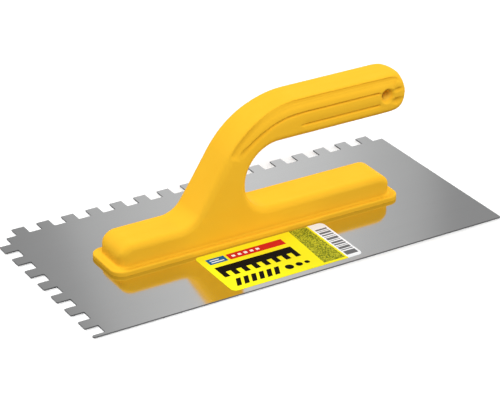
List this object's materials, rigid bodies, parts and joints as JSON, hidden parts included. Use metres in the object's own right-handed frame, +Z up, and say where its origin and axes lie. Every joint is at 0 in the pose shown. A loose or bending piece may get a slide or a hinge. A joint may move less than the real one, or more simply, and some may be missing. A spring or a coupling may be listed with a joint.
{
  "type": "notched trowel",
  "caption": "Flat steel trowel with square teeth along a long and a short edge, and an open-ended plastic grip on a swan neck over a long foot, for combing tile adhesive.",
  "frame": {"origin": "middle of the blade's underside", "axes": "+X along the blade, away from its toothed short edge and the way the grip's free end points; +Y to its toothed long edge; +Z up, from the blade to the grip"},
  "size_m": [0.27, 0.13, 0.0802],
  "materials": {
    "stainless_sheet": "fine-ground stainless sheet, satin, with soft reflections",
    "yellow_plastic": "moulded yellow plastic, even satin, lightly textured",
    "label_film": null,
    "rivet_metal": "turned, satin"
  },
  "bodies": {
    "root": {"blade": "stainless_sheet", "size_label": "label_film", "handle": "yellow_plastic", "foot_rivet_1": "rivet_metal", "foot_rivet_2": "rivet_metal", "foot_rivet_3": "rivet_metal", "foot_rivet_4": "rivet_metal", "foot_rivet_5": "rivet_metal", "foot_rivet_6": "rivet_metal"}
  },
  "joints": []
}
